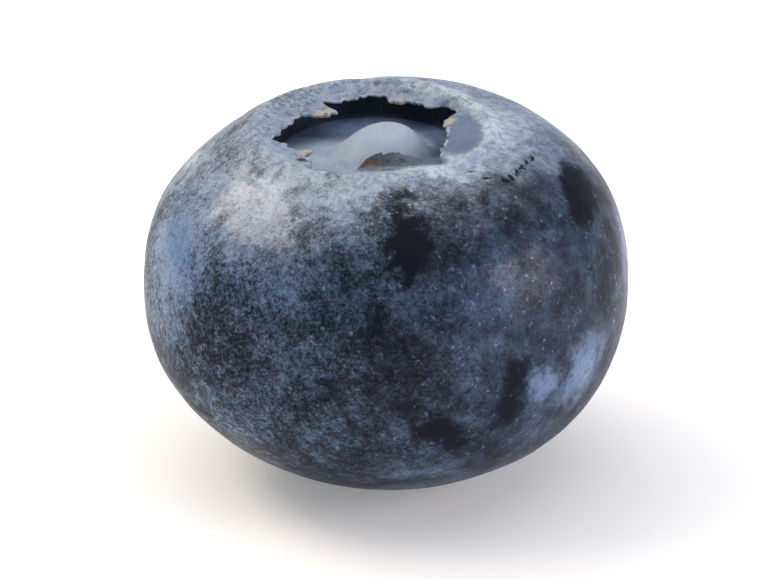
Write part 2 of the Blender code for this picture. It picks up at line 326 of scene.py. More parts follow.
edge_radii = [lobe_edge(bearing)[0] / MM for bearing in range(360)]
print("opening's edge in mm:", round(min(edge_radii), 2), "to", round(max(edge_radii), 2))

# %% [markdown]
# To move, a vertex has to know its ring. Nothing has left its ring yet, so radius and height tell.

# %% The ring of each vertex


def nearest_ring(radius, height):
    """Number of the ring that was drawn at this radius and height."""
    return min(range(len(rings)), key=lambda n: math.hypot(rings[n][0] - radius, rings[n][1] - height))


ring_of = {}  # a ring's number, by its radius and height in whole micrometres
numbers = []
for vertex in berry.data.vertices:
    radius, height = math.hypot(vertex.co.x, vertex.co.y), vertex.co.z
    key = (round(radius / MM, 3), round(height / MM, 3))
    if key not in ring_of:
        ring_of[key] = nearest_ring(radius, height)
    numbers.append(ring_of[key])
print("rings found:", len(set(numbers)))

# %% [markdown]
# Each point of the lip now moves to where the lobes' edge puts it. Which points are lip, wall,
# basin floor or stem scar is kept on the mesh as attributes, because the material needs it later.

# %% Move the lip to the lobes
SCAR_FADE_RINGS = 3  # the scar's colour fades out over so many rings of its lip

reach = np.zeros(len(numbers))  # 0 at the collar, 1 at the lobe's edge
inside = np.zeros(len(numbers))  # 1 on the underside of the lip and on the wall
basin_floor = np.zeros(len(numbers))  # 1 on the basin's floor
scar = np.zeros(len(numbers))  # 1 in the stem scar, fading out over its lip
for vertex, number in zip(berry.data.vertices, numbers):
    station = number - first_lip_ring
    inside[vertex.index] = first_basin_ring <= number < first_floor_ring
    basin_floor[vertex.index] = number >= first_floor_ring
    scar[vertex.index] = min(1, max(0, 1 - (number - scar_rings) / SCAR_FADE_RINGS))
    if not 0 <= station < len(lip_stations):
        continue
    bearing = math.degrees(math.atan2(vertex.co.y, vertex.co.x))
    along, turn = lip_stations[station]
    radius, height = lip_point(along, turn, *lobe_edge(bearing))
    scale = radius / math.hypot(vertex.co.x, vertex.co.y)
    vertex.co = (vertex.co.x * scale, vertex.co.y * scale, height)
    reach[vertex.index] = along
    inside[vertex.index] = turn < 0
for name, values in (("reach", reach), ("inside", inside), ("floor", basin_floor), ("scar", scar)):
    attribute = berry.data.attributes.new(name, "FLOAT", "POINT")
    attribute.data.foreach_set("value", values.astype(np.float32))
print("lip points placed:", int((reach > 0).sum()))

# %% [markdown]
# No calyx is even. The collar sinks between the lobes, a few creases run out from it where the
# skin has shrunk, and a low ridge lies along the front lobe. All are added to the points' heights.

# %% Dips, creases and the front ridge
NOTCH_DIP = 0.05 * MM
DIP_SPREAD = 0.75 * MM
TOP_FLOOR = WIDEST + 4.0 * MM  # these forms are on points above this height
LIP_FLOOR = WIDEST + 5.3 * MM  # the lip and the top of the wall are above this one
CREASES = (
    # bearing, radius, half length and half width, depth; all but the bearing in millimetres
    (-148, 5.05, 0.26, 1.15, 0.09),
    (-120, 4.6, 0.9, 0.35, 0.05),
    (-30, 4.7, 0.8, 0.35, 0.06),
    (38, 4.6, 1, 0.3, 0.07),
    (92, 4.7, 1.1, 0.35, 0.06),
    (170, 4.7, 1, 0.35, 0.05),
)
FRONT_RIDGE = (-74, 48, 4.02 * MM, 0.26 * MM, 0.08 * MM)  # bearing, half width, radius, spread, height

places = np.empty(len(berry.data.vertices) * 3)
berry.data.vertices.foreach_get("co", places)
places = places.reshape(-1, 3)
across = np.hypot(places[:, 0], places[:, 1])
bearings = np.degrees(np.arctan2(places[:, 1], places[:, 0]))
on_top = (places[:, 2] > TOP_FLOOR) & (across > NOTCH_RADIUS - DIP_SPREAD)
on_top &= (places[:, 2] > LIP_FLOOR) | (across > COLLAR_RADIUS)
dip = NOTCH_DIP * np.array([1 - max(swells(bearing)) for bearing in bearings])
places[:, 2] -= on_top * dip * np.exp(-(((across - COLLAR_RADIUS) / DIP_SPREAD) ** 2))
for middle, *lengths in CREASES:
    reach_out, long, wide, deep = (length * MM for length in lengths)
    turn = np.radians(bearings) - math.radians(middle)
    out = across * np.cos(turn) - reach_out
    aside = across * np.sin(turn)
    crease = deep * np.exp(-((out / long) ** 2) - (aside / wide) ** 2)
    places[:, 2] -= (across > NOTCH_RADIUS) * on_top * crease
middle, width, out, spread, high_by = FRONT_RIDGE
along = np.array([turned(bearing, middle) for bearing in bearings]) / width
places[:, 2] += on_top * high_by * np.exp(-(along ** 4) - ((across - out) / spread) ** 2)
print("points on the top:", int(on_top.sum()))

# %% [markdown]
# No berry is quite round either. The disc sits off the middle of the basin, the whole calyx is a
# little off the axis, and the body swells unevenly. The left shoulder sags, the right one stands
# higher, and the lower body leans to the right. At the end the berry is centred again.

# %% Uneven body
DISC_SHIFT = (0.6 * MM, 0.58 * MM)
CALYX_SHIFT = (-0.42 * MM, 0.05 * MM)
SHIFT_START = WIDEST + 2.0 * MM
SWELLS = ((2, 35, 0.006), (3, 100, 0.004), (5, 70, 0.005))  # waves round, bearing, share of radius
SHOULDER_SLOPES = (0.1, 0.055)  # rise per millimetre to the left and to the right
SHOULDER_LEVELS = (WIDEST + 1.5 * MM, WIDEST + 5.0 * MM)  # the slope fades in between these heights
SHOULDER_RADII = (4.5 * MM, 6.2 * MM)  # and between these radii, so that the calyx stays level
FOOT_SHIFT = 0.28 * MM  # the lower body leans this far to the right
FOOT_LEVEL = WIDEST - 5.2 * MM  # most of all at this height
FOOT_SPREAD = 2.0 * MM


def fade_in(value, start, end):
    """0 below start, 1 above end and smooth between them."""
    share = np.clip((value - start) / (end - start), 0, 1)
    return share * share * (3 - 2 * share)


share = np.clip(across / GROOVE_RADIUS, 0, 1)
in_basin = places[:, 2] > (WIDEST + GROOVE_HEIGHT) / 2
places[:, :2] += np.outer(np.where(in_basin, (1 - share * share) ** 2, 0), DISC_SHIFT)
swell = np.ones(len(places))
for waves, middle, size in SWELLS:
    swell += size * np.cos(waves * (np.radians(bearings) - math.radians(middle)))
places[:, :2] *= swell[:, None]
across = np.hypot(places[:, 0], places[:, 1])
slope = np.where(places[:, 0] < 0, *SHOULDER_SLOPES)
shoulder = fade_in(places[:, 2], *SHOULDER_LEVELS) * fade_in(across, *SHOULDER_RADII)
foot = FOOT_SHIFT * np.exp(-((places[:, 2] - FOOT_LEVEL) / FOOT_SPREAD) ** 2)
calyx = fade_in(places[:, 2], SHIFT_START, NOTCH_HEIGHT)
places[:, 2] += shoulder * slope * places[:, 0]
places[:, 0] += foot
places[:, :2] += np.outer(calyx, CALYX_SHIFT)
middle = (places.max(axis=0) + places.min(axis=0)) / 2
places[:, :2] -= middle[:2]
berry.data.vertices.foreach_set("co", places.ravel())
berry.data.update()
print("berry in mm:", np.round((places.max(axis=0) - places.min(axis=0)) / MM, 2))

# %% [markdown]
# The rings are fine enough to need no subdivision. Two Displace modifiers with cloud textures give
# the skin its soft lumps and a slight orange peel. A vertex group keeps them off the flat spot.

# %% Lumps and orange peel
FLAT_CLEAR = 0.8 * MM  # the relief fades in over this height,
RELIEF_START = 0.2  # from this share of it,
RELIEF_STEPS = 10  # in so many steps
LUMPS = (("lumps", 3.2 * MM, 0.1 * MM), ("orange_peel", 0.55 * MM, 0.018 * MM))  # name, size, height


def apply_modifier(kind, **settings):
    bpy.ops.object.modifier_add(type=kind)
    modifier = bpy.context.object.modifiers[-1]
    for name, value in settings.items():
        setattr(modifier, name, value)
    bpy.ops.object.modifier_apply(modifier=modifier.name)


bpy.ops.object.select_all(action="DESELECT")
berry.select_set(True)
bpy.context.view_layer.objects.active = berry
free = berry.vertex_groups.new(name="free")
steps = {}  # vertices by how free they are, from 0 to RELIEF_STEPS
for vertex in berry.data.vertices:
    step = min(RELIEF_STEPS, max(0, int(RELIEF_STEPS * (vertex.co.z / FLAT_CLEAR - RELIEF_START))))
    steps.setdefault(step, []).append(vertex.index)
for step, found in steps.items():
    free.add(found, step / RELIEF_STEPS, "REPLACE")
for name, size, height in LUMPS:
    clouds = bpy.data.textures.new(name, "CLOUDS")
    clouds.noise_scale = size
    apply_modifier("DISPLACE", texture=clouds, strength=height, mid_level=0.5, vertex_group="free")
bpy.ops.object.shade_smooth()
print("triangles:", sum(len(face.vertices) - 2 for face in berry.data.polygons))

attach(berry, "root")
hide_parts("blueberry")

# %% [markdown]
# Materials are made of small node groups, so that one pattern can be used in several places with
# its own sizes. These helpers add a node and set or link its inputs in one line, in whichever tree
# is called tree at the time. The short ones do sums.

# %% Helpers for nodes


def plug(socket, value):
    """Links a socket to this input, or sets its value."""
    if isinstance(value, bpy.types.NodeSocket):
        tree.links.new(value, socket)
    else:
        socket.default_value = value


def add(kind, *values, **settings):
    """Adds a node, gives values to its inputs in order, and returns its first output."""
    node = tree.nodes.new("ShaderNode" + kind)
    for name, value in settings.items():
        setattr(node, name, value)
    for socket, value in zip(node.inputs, values):
        plug(socket, value)
    return node.outputs[0]


def plus(a, b):
    return add("Math", a, b, operation="ADD")


def minus(a, b):
    return add("Math", a, b, operation="SUBTRACT")


def times(a, b):
    return add("Math", a, b, operation="MULTIPLY")


def larger(a, b):
    return add("Math", a, b, operation="MAXIMUM")


def rest_of(mask):
    """The rest of the surface: 1 where the mask is 0."""
    return minus(1.0, mask)


def parts_of(place):
    """The X, Y and Z of a place."""
    node = tree.nodes.new("ShaderNodeSeparateXYZ")
    plug(node.inputs[0], place)
    return node.outputs


# %% [markdown]
# Noise takes its size in millimetres. A fade is smooth at both ends, and a slide is straight.

# %% Helpers for noise, fades and mixes


def cloud_noise(place, size, detail=2.0, rough=0.5):
    """Outputs of a noise with features about size millimetres across. A size that comes from a
    socket is taken as the scale itself."""
    node = tree.nodes.new("ShaderNodeTexNoise")
    plug(node.inputs["Vector"], place)
    plug(node.inputs["Scale"], size if isinstance(size, bpy.types.NodeSocket) else 1 / size)
    node.inputs["Detail"].default_value = detail
    node.inputs["Roughness"].default_value = rough
    return node.outputs


def noise(place, size, detail=2.0, rough=0.5):
    """The same noise as one value, about 0.5 on average."""
    return cloud_noise(place, size, detail, rough)[0]


def map_range(kind, values):
    node = tree.nodes.new("ShaderNodeMapRange")
    node.interpolation_type = kind
    for name, given in values.items():
        plug(node.inputs[name], given)
    return node.outputs[0]


def fade(value, low, high):
    """0 below low, 1 above high, and smooth between."""
    return map_range("SMOOTHSTEP", {"Value": value, "From Min": low, "From Max": high})


def slide(value, first, last, low=0.0, high=1.0):
    """From first to last, while the value goes from low to high."""
    values = {"Value": value, "From Min": low, "From Max": high, "To Min": first, "To Max": last}
    return map_range("LINEAR", values)


def blend(share, first, second):
    """first where share is 0, second where it is 1. Colours."""
    node = tree.nodes.new("ShaderNodeMix")
    node.data_type = "RGBA"
    for number, value in ((0, share), (6, first), (7, second)):
        plug(node.inputs[number], value)
    return node.outputs[2]


# %% [markdown]
# A node group is a small tree of its own with named sockets. One helper makes an empty group, and
# one places it in a material with its own values.

# %% Helpers for groups


def new_group(name, inputs, outputs):
    """An empty node group with these sockets, as (group, input sockets, output sockets)."""
    group = bpy.data.node_groups.new(name, "ShaderNodeTree")
    for socket_name, kind, *value in inputs:
        socket = group.interface.new_socket(socket_name, in_out="INPUT", socket_type="NodeSocket" + kind)
        if value:
            socket.default_value = value[0]
    for socket_name, kind in outputs:
        group.interface.new_socket(socket_name, in_out="OUTPUT", socket_type="NodeSocket" + kind)
    given = group.nodes.new("NodeGroupInput")
    made = group.nodes.new("NodeGroupOutput")
    return group, given.outputs, made.inputs


def use(group, **values):
    """Places a group in a tree and returns its outputs. Input names start with a capital."""
    node = tree.nodes.new("ShaderNodeGroup")
    node.node_tree = group
    for name, value in values.items():
        plug(node.inputs[name.capitalize()], value)
    return node.outputs


# %% [markdown]
# The bloom is a film of tiny wax plates, grey blue and matt, and close up it is granular. The group
# adds broad patches, clumps, grains and fine dust to the cover that it is given, then a few loose
# flakes, and puts out how much bloom there is at each point.

# %% Node group: waxy bloom
BLOOM_SCALES = (
    # size in millimetres, detail, strength, and which input scales it
    (3.1, 3, 1.1, "Patchiness"),
    (0.75, 3, 0.6, "Patchiness"),
    (0.26, 2, 1, "Graininess"),
    (0.1, 2, 1.15, "Graininess"),
)
BLOOM_ROUGH = 0.6
FLAKE_SIZE = 0.19
FLAKE_FADE = (0.66, 0.76)  # only the peaks of the noise are flakes
FILM_FADE = (-0.3, 1.15)  # from no bloom at this sum to the full film at that one
FILM_POWER = 1.7  # above 1, the thin film shows less

tree, given, made = new_group(
    "waxy bloom",
    [("Place", "Vector"), ("Cover", "Float", 0.5), ("Patchiness", "Float", 1.0),
     ("Graininess", "Float", 1.0), ("Specks", "Float", 0.5)],
    [("Bloom", "Float")])
waxy_bloom = tree
total = given["Cover"]
for size, detail, strength, scaled_by in BLOOM_SCALES:
    wave = minus(noise(given["Place"], size, detail, BLOOM_ROUGH), 0.5)
    wave = times(wave, times(given[scaled_by], strength))
    total = plus(total, wave)
flakes = fade(noise(given["Place"], FLAKE_SIZE, 1.0), *FLAKE_FADE)
total = plus(total, times(flakes, given["Specks"]))
film = add("Math", fade(total, *FILM_FADE), FILM_POWER, operation="POWER")
plug(made["Bloom"], film)
print("nodes in the bloom:", len(tree.nodes))

# %% [markdown]
# A spot is a soft oval mask, placed by its middle and its three half sizes in millimetres. It is
# used where bloom is rubbed away or lies thicker, and for the dry tips. Its edge wanders when it is
# fed with a ragged place, which is the plain one pushed about by a colour noise.

# %% Node groups: ragged place and spot
tree, given, made = new_group(
    "ragged place",
    [("Place", "Vector"), ("Size", "Float", 1.0), ("Amount", "Float", 0.5)],
    [("Place", "Vector")])
ragged_place = tree
fineness = add("Math", 1.0, given["Size"], operation="DIVIDE")
cloud = cloud_noise(given["Place"], fineness, 4.0, 0.65)["Color"]
push = add("VectorMath", cloud, (0.5, 0.5, 0.5), operation="SUBTRACT")
scaled = tree.nodes.new("ShaderNodeVectorMath")
scaled.operation = "SCALE"
plug(scaled.inputs[0], push)
plug(scaled.inputs["Scale"], given["Amount"])
plug(made["Place"], add("VectorMath", given["Place"], scaled.outputs[0], operation="ADD"))

tree, given, made = new_group(
    "spot",
    [("Place", "Vector"), ("Middle", "Vector"), ("Size", "Vector", (1, 1, 1)),
     ("Softness", "Float", 0.4)],
    [("Mask", "Float")])
spot = tree
gap = add("VectorMath", given["Place"], given["Middle"], operation="SUBTRACT")
gap = add("VectorMath", gap, given["Size"], operation="DIVIDE")
length = tree.nodes.new("ShaderNodeVectorMath")
length.operation = "LENGTH"
plug(length.inputs[0], gap)
start = minus(1.0, given["Softness"])
end = plus(1.0, given["Softness"])
plug(made["Mask"], rest_of(fade(length.outputs["Value"], start, end)))
print("nodes in the spot:", len(tree.nodes))

# %% [markdown]
# Fine relief is cheaper as bump than as mesh. This group gives the height of the skin's pores and
# of the wax grains on it.

# %% Node group: skin grain
PORES = (0.35, 2.0, 0.5)  # size in millimetres, detail and roughness
WAX_GRAINS = (0.09, 2.0, 0.6)
PORES_SHARE = 0.6  # of the whole height

tree, given, made = new_group("skin grain", [("Place", "Vector")], [("Height", "Float")])
skin_grain = tree
pores = times(noise(given["Place"], *PORES), PORES_SHARE)
grains = times(noise(given["Place"], *WAX_GRAINS), 1 - PORES_SHARE)
plug(made["Height"], plus(pores, grains))
print("node groups:", [group.name for group in bpy.data.node_groups])

# %% [markdown]
# The skin is nearly black blue, and the wax on it goes from blue on the side to a paler grey on
# the crown. The material works in millimetres: the object's own coordinates, times a thousand.
# Three ragged copies of them, from broad to fine, are for the edges of patches, marks and nicks.

# %% The skin's colours and places
BARE = (0.0055, 0.007, 0.0135, 1)
BARE_PURPLE = (0.0082, 0.0068, 0.0132, 1)
BLOOM_BLUE = (0.126, 0.23, 0.388, 1)
BLOOM_GREY = (0.25, 0.33, 0.435, 1)
BLOOM_LILAC = (0.172, 0.2, 0.37, 1)
BLOOM_PINK = (0.32, 0.325, 0.415, 1)
BLOOM_SHADE = (0.09, 0.15, 0.26, 1)
DUST = (0.17, 0.2, 0.2, 1)
# pale wax, and also the colour of the painted highlights round the calyx and of the painted light on the
# basin's floor
EDGE_PALE = (0.48, 0.58, 0.66, 1)
# painted shade on the basin's wall and under the lip
WALL_SHADE_BLUE = (0.04, 0.05, 0.075, 1)

skin = bpy.data.materials.new("skin")
skin.use_nodes = True
tree = skin.node_tree
shader = tree.nodes["Principled BSDF"]
coordinates = tree.nodes.new("ShaderNodeTexCoord").outputs["Object"]
place = add("VectorMath", coordinates, (1000, 1000, 1000), operation="MULTIPLY")
wide_ragged = use(ragged_place, place=place, size=1.7, amount=3.0)["Place"]
ragged = use(ragged_place, place=place, size=1.1, amount=1.9)["Place"]
fine_ragged = use(ragged_place, place=place, size=0.3, amount=0.5)["Place"]


def count_nodes():
    print("nodes in the skin:", len(tree.nodes))


def mask_at(place, middle, size, softness):
    """A soft oval mask in the skin's tree."""
    return use(spot, place=place, middle=middle, size=size, softness=softness)["Mask"]


def mesh_value(name):
    """One of the values that were kept on the mesh."""
    node = tree.nodes.new("ShaderNodeAttribute")
    node.attribute_name = name
    return node.outputs["Fac"]


inside_value = mesh_value("inside")
floor_value = mesh_value("floor")
reach_value = mesh_value("reach")
scar_value = mesh_value("scar")
count_nodes()

# %% [markdown]
# Cover says how thick the bloom is: dense on the crown and thin on the side. Near the base less cover
# paints shade.
# The border of the crown is tilted, and it wanders.

# %% Cover on the crown and the side
# partly painted light: the crown's pale bloom reaches lower on the left and at the back, where the key
# light falls
CROWN_TILT = (-0.1, 0.13, 1)  # the crown's bloom reaches lower on the left and at the back
CROWN_FADE = (10.0, 12.7)  # from and to this tilted height, in millimetres
SIDE_COVER = 0.32
CROWN_COVER = 0.89
# painted shade: less cover makes the bottom darker
BASE_SHADE = 0.13  # less cover than that near the base
LOW_FADE = (3.0, 7.5)  # between these heights, in millimetres

tilted = parts_of(add("VectorMath", wide_ragged, CROWN_TILT, operation="MULTIPLY"))
level = plus(tilted["Z"], plus(tilted["X"], tilted["Y"]))
crown = fade(level, *CROWN_FADE)
cover = plus(SIDE_COVER, times(crown, CROWN_COVER - SIDE_COVER))
near_base = rest_of(fade(parts_of(place)["Z"], *LOW_FADE))
cover = minus(cover, times(near_base, BASE_SHADE))
count_nodes()

# %% [markdown]
# Picking and pouring rub the bloom thin in some places and leave it thick in others. Each mark is
# a spot on the ragged place. Most are set where this berry has worn or thick bloom; a few paint
# shade in the furrow round the collar and highlights on the gleams, as noted above their rows.

# %% Marks in the bloom
MARKS = (
    # middle, half sizes, softness, change of cover: thicker or rubbed away
    # painted shade: the next two darken the furrow below the front lobe's ridge
    ((1.6, -4.8, 12.6), (1.5, 0.5, 0.7), 0.6, -0.42),
    ((3.1, -3.7, 12.7), (1.4, 0.7, 0.7), 0.6, -0.37),
    ((3.8, -4.6, 12.1), (0.9, 0.6, 0.5), 0.7, -0.26),
    ((4.8, -4.2, 12), (0.8, 0.8, 0.6), 0.7, -0.18),
    ((5.6, -2.4, 12.5), (0.7, 0.9, 0.6), 0.7, -0.18),
    ((7.2, 0.2, 11.3), (0.8, 2, 1.2), 0.8, -0.18),
    ((6.7, -5, 9.6), (0.8, 1.2, 1), 0.8, -0.14),
    ((-7.6, -2.9, 9.4), (0.9, 1.6, 1.2), 0.7, 0.22),
    ((0.3, -5.75, 12.45), (0.55, 1.2, 0.35), 0.7, -0.55),
    ((0.8, -6.6, 11.85), (0.7, 1.6, 0.45), 0.7, -0.62),
    ((0.65, -7.05, 11.4), (0.68, 1.6, 0.5), 0.7, -0.6),
    ((0.5, -7.3, 11), (0.45, 1.6, 0.35), 0.6, -0.35),
    ((1.95, -6.5, 11.9), (0.6, 1.4, 0.6), 0.7, -0.28),
    ((-1.2, -7.4, 11), (0.8, 1.4, 0.6), 0.7, -0.28),
    ((-3.2, -5.85, 11.25), (0.9, 1.4, 0.55), 0.7, -0.36),
    # partly painted highlight: thicker bloom where the card's purple grey gleam lies
    ((3.7, -7.15, 10.4), (1.3, 1.5, 1.3), 0.8, 0.16),
    ((-5.3, -0.2, 12.2), (1.2, 1.8, 0.8), 0.7, -0.28),
    ((-5.7, -1.5, 11.9), (0.9, 1.3, 0.7), 0.7, -0.04),
    ((-0.8, -6.1, 12.1), (1.8, 1.2, 0.5), 0.8, -0.22),
    ((-2.7, -4.6, 12.5), (1.6, 1, 0.7), 0.7, 0.2),
    ((2.4, -2.4, 12.9), (1, 0.9, 0.6), 0.6, 0.25),
    ((-3.1, -7.1, 10.5), (1.2, 1.5, 1), 0.8, 0.18),
    ((-1.5, -8.5, 7.5), (1, 1.5, 2.2), 0.8, 0.22),
    ((3.5, -7.8, 9), (0.9, 1.5, 1.2), 0.8, 0.1),
    ((-2.7, -8, 9.1), (1.2, 1.5, 1.2), 0.8, 0.18),
    ((-7, -4.7, 8), (0.9, 1.5, 1.5), 0.8, 0.16),
    ((1.9, -8.4, 6), (2, 1.5, 0.7), 0.8, -0.2),
    ((0, -8.5, 5.3), (1.6, 1.5, 0.6), 0.8, -0.14),
    ((7, -2.2, 11.2), (0.5, 1.3, 0.75), 0.6, -0.8),
    ((6.7, -1.5, 11.7), (0.45, 0.9, 0.5), 0.6, -0.6),
    ((8.15, -2.7, 9.2), (0.6, 1.6, 1.1), 0.6, -0.3),
    ((4.6, -7.4, 6.7), (0.5, 1.5, 0.8), 0.85, -0.48),
    ((4.3, -7.45, 5.4), (0.55, 1.5, 0.55), 0.85, -0.44),
    ((1.9, -8.2, 5), (0.8, 1.5, 0.6), 0.85, -0.48),
    ((2.3, -8, 4.5), (0.5, 1.5, 0.45), 0.85, -0.34),
    ((-5.9, -6, 9.4), (0.8, 1.5, 0.9), 0.8, -0.08),
    ((-6.3, -5.9, 8.1), (1, 1.5, 0.9), 0.8, -0.1),
    ((-4.1, -7.4, 8.6), (1.2, 1.5, 1), 0.8, -0.06),
    ((-3.4, -7.2, 5.2), (2, 1.5, 1.2), 0.8, 0.1),
    ((0.5, -8.5, 9.6), (1.9, 1.5, 0.7), 0.8, 0.1),
    ((4.8, -6.2, 4), (1.6, 1.8, 0.9), 0.8, 0.08),
    ((0.6, -7.9, 5.7), (2.4, 1.5, 1.2), 0.8, 0.14),
    # painted highlight: thicker bloom that shapes the gleam on the left shoulder
    ((-4.5, -5.6, 11.4), (1.4, 1.4, 0.9), 0.6, 0.24),
    ((8.4, -1.6, 8.2), (0.9, 1.8, 2.2), 0.6, 0.16),
    ((-7.1, -3.6, 10), (0.9, 1.8, 1.3), 0.6, 0.42),
    ((-3.6, -7.4, 7), (1.2, 1.5, 0.9), 0.7, 0.12),
    ((0.4, -8.5, 8.4), (1.9, 2, 1.9), 0.8, -0.26),
    ((-1.9, -8.3, 9), (1.4, 2, 0.9), 0.8, -0.16),
    ((-2.6, -8.3, 6.6), (1.6, 2, 1.1), 0.8, -0.18),
    ((-3.1, -5.8, 11.85), (0.45, 1.2, 0.28), 0.6, -0.35),
    ((4.4, -5.6, 11.5), (0.5, 1.2, 0.45), 0.7, -0.12),
    ((7.3, -4.7, 5.95), (0.65, 1.5, 0.95), 0.6, 0.55),
    ((6.9, -4.9, 5), (0.75, 1.5, 0.8), 0.6, 0.45),
    ((5.65, -6.6, 5.85), (0.45, 1.2, 0.6), 0.6, 0.55),
    ((1.3, -7.1, 2.75), (1.3, 1.6, 0.4), 0.7, 0.25),
    ((-1.15, -6.8, 11.7), (0.5, 1.2, 0.75), 0.7, 0.22),
    ((-1.5, -5.4, 12.5), (0.9, 1.2, 0.5), 0.6, 0.25),
    # painted highlight: thicker bloom along the front lobe's ridge
    ((1.35, -3.5, 12.95), (1.7, 0.36, 0.5), 0.5, 0.55),
    ((-2.2, -3.6, 12.95), (1.4, 0.45, 0.3), 0.6, 0.3),
    ((4.2, 0.2, 12.9), (0.9, 2, 0.5), 0.6, 0.25),
    ((-7.9, -3.3, 8.6), (0.8, 2.4, 2.4), 0.6, 0.38),
    ((-5.6, -6, 4.3), (1.3, 1.6, 1), 0.7, 0.16),
    # painted shade: the next four draw a dark line along the furrow outside the collar, on the left front
    ((-4.65, -1.65, 12.6), (0.26, 0.8, 0.6), 0.6, -0.34),
    ((-4.45, -2.5, 12.6), (0.4, 0.26, 0.6), 0.6, -0.4),
    ((-3.75, -3.45, 12.6), (0.55, 0.26, 0.6), 0.6, -0.38),
    ((-3.3, -4.3, 12.6), (0.6, 0.24, 0.6), 0.6, -0.25),
    ((-6.4, -3, 11.2), (0.7, 1.6, 1), 0.7, 0.14),
)
for middle, size, softness, change in MARKS:
    cover = plus(cover, times(mask_at(ragged, middle, size, softness), change))
print("marks:", len(MARKS))

# %% [markdown]
# Short dark nicks run in an arc right of the calyx, where something hard has scraped the wax off.
# They are small, so they use the fine ragged place.

# %% Nicks
NICKS = (
    # middle and half sizes: eight right of the calyx, then one low on the left
    ((3, -3.2, 12.9), (0.1, 0.08, 0.4)),
    ((3.6, -3.5, 12.8), (0.14, 0.08, 0.4)),
    ((4.25, -3.45, 12.7), (0.13, 0.1, 0.4)),
    ((4.5, -3.2, 12.7), (0.1, 0.16, 0.4)),
    ((4.7, -2.85, 12.7), (0.09, 0.2, 0.4)),
    ((4.87, -2.45, 12.7), (0.08, 0.2, 0.4)),
    ((5.03, -2.05, 12.7), (0.08, 0.2, 0.4)),
    ((5.2, -1.65, 12.7), (0.08, 0.18, 0.4)),
    ((-6.5, -4.7, 4.1), (0.42, 0.8, 0.16)),
)
NICK_DEPTH = 0.75
NICK_SOFTNESS = 0.5
for middle, size in NICKS:
    nick = mask_at(fine_ragged, middle, size, NICK_SOFTNESS)
    cover = minus(cover, times(nick, NICK_DEPTH))
count_nodes()

# %% [markdown]
# In the basin the wall has hardly any bloom, which paints the shade under the lip. The floor has
# a smooth film that is thick on two broad spots, as painted light where the floor is lit, and thin
# between them and the groove, as painted shadow of the lobes.

# %% Bloom in the basin, with painted light and shade
WALL_SHADE = 0.85  # less cover than that on the wall
FLOOR_SHADOW = 0.44  # and on the floor outside its pale spots
FLOOR_MORE = 0.2  # more cover than outside, on the whole floor
FLOOR_SMOOTH = 0.75  # this much of the patches and grain is missing there
LIT_FLOOR_SOFTNESS = 0.22
LIT_FLOOR = (
    # middle, half sizes: painted light, where bloom lies thick on the lit parts of the basin's floor
    ((0.1, 0.6, 12.2), (1.6, 2, 1.5)),
    ((-1.6, -1.6, 11.9), (3.6, 3.1, 1.5)),
)
# painted shade: the wall and the lip's underside lose their bloom
cover = minus(cover, times(inside_value, WALL_SHADE))
lit_floor = 0.0
for middle, size in LIT_FLOOR:
    lit_floor = larger(lit_floor, mask_at(place, middle, size, LIT_FLOOR_SOFTNESS))
# painted shadow: the rest of the floor gets less cover
shadowed_floor = times(floor_value, rest_of(lit_floor))
cover = minus(cover, times(shadowed_floor, FLOOR_SHADOW))
cover = plus(cover, times(floor_value, FLOOR_MORE))
smooth_floor = rest_of(times(floor_value, FLOOR_SMOOTH))
count_nodes()

# %% [markdown]
# The grain is coarse on the left, where the light rakes over it, and fine on the right. On the
# gleaming left shoulder it is evened out. With that the group can work out the bloom.

# %% Grain, and the bloom itself
GRAIN_LEFT = 1.3
GRAIN_RIGHT = 0.3
GRAIN_SPAN = (-6.0, 5.0)  # from the one to the other between these X, in millimetres
EVEN_SHOULDER = ((-4.5, -3.9, 12.0), (2.0, 2.6, 1.6), 0.4)  # middle, half sizes and softness
EVEN_BY = 0.5
FLAKES = 0.4

grain = times(slide(parts_of(wide_ragged)["X"], GRAIN_LEFT, GRAIN_RIGHT, *GRAIN_SPAN), smooth_floor)
even = mask_at(ragged, *EVEN_SHOULDER)
grain = times(grain, rest_of(times(even, EVEN_BY)))
bloom = use(waxy_bloom, place=place, cover=cover, graininess=grain, patchiness=smooth_floor,
            specks=times(smooth_floor, FLAKES))["Bloom"]
count_nodes()

# %% [markdown]
# Round the basin it looks nearly white: a painted highlight in a ring on top of the lobes, strongest
# at the back right, and a wider collar of pale wax that leans to the front. Places on the calyx are
# given by bearing and radius round its own middle.

# %% Painted highlight ring and pale collar
RING_MIDDLE = (-0.48, 0.03)  # of the calyx, in millimetres
RING_HEIGHT = 12.7
DEEP = 3.0  # half height of a mask that only has to reach through the top
RING_LEAST = 0.35  # the ring's strength away from the back right
RING_HIGHLIGHT_STRENGTH = 0.85
COLLAR_STRENGTH = 0.45


def by_ring(bearing, radius):
    """A point on the calyx, in millimetres."""
    turn = math.radians(bearing)
    return (RING_MIDDLE[0] + radius * math.cos(turn), RING_MIDDLE[1] + radius * math.sin(turn), RING_HEIGHT)


# painted highlight: a pale ring round the opening, strongest at the back right
outer = mask_at(place, by_ring(0, 0), (4.85, 4.85, DEEP), 0.12)
inner = mask_at(place, by_ring(0, 0), (3.92, 3.92, DEEP), 0.06)
back_right = mask_at(place, by_ring(25, 4.2), (3.6, 3.6, DEEP), 0.5)
all_round = plus(RING_LEAST, times(back_right, 1 - RING_LEAST))
rim_highlight = times(minus(outer, inner), all_round)
collar = mask_at(wide_ragged, by_ring(-60, 0.9), (4.9, 4.7, DEEP), 0.25)
collar = times(times(collar, rest_of(inner)), COLLAR_STRENGTH)
pale = larger(collar, times(rim_highlight, RING_HIGHLIGHT_STRENGTH))
count_nodes()

# %% [markdown]
# The front lobe's ridge and the web to its right get pale painted highlights, and the two broad
# spots on the basin's floor get a little painted light.

